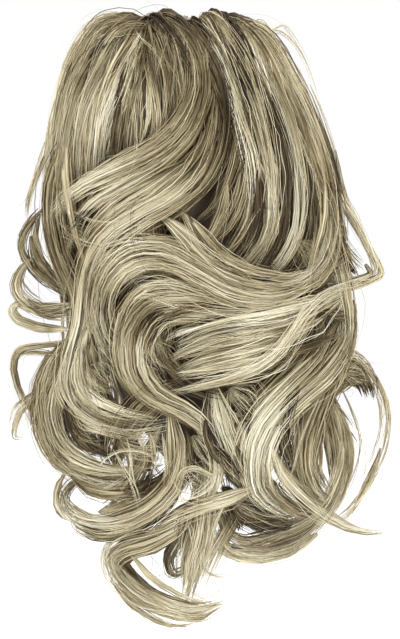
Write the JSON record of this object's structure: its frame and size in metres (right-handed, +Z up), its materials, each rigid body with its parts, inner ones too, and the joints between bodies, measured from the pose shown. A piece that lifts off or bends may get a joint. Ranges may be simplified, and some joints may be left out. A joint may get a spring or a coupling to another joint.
{
  "type": "ponytail hairpiece",
  "caption": "Claw-clip ponytail hairpiece: wavy ash-blonde hair in curled locks that falls from wefts round a hidden claw clip.",
  "frame": {"origin": "centre of the claw clip's hollow, where the clip grips the wearer's own hair", "axes": "+Z up as worn, -Y the side that shows, +Y towards the wearer's head, X across the hair"},
  "size_m": [0.2202, 0.1087, 0.3496],
  "materials": {
    "hair": "silky synthetic fibre",
    "clip_plastic": "satin"
  },
  "bodies": {
    "root": {"claw_clip": "clip_plastic", "left_bundle": "hair", "right_bundle": "hair", "under_bundle": "hair"}
  },
  "joints": []
}
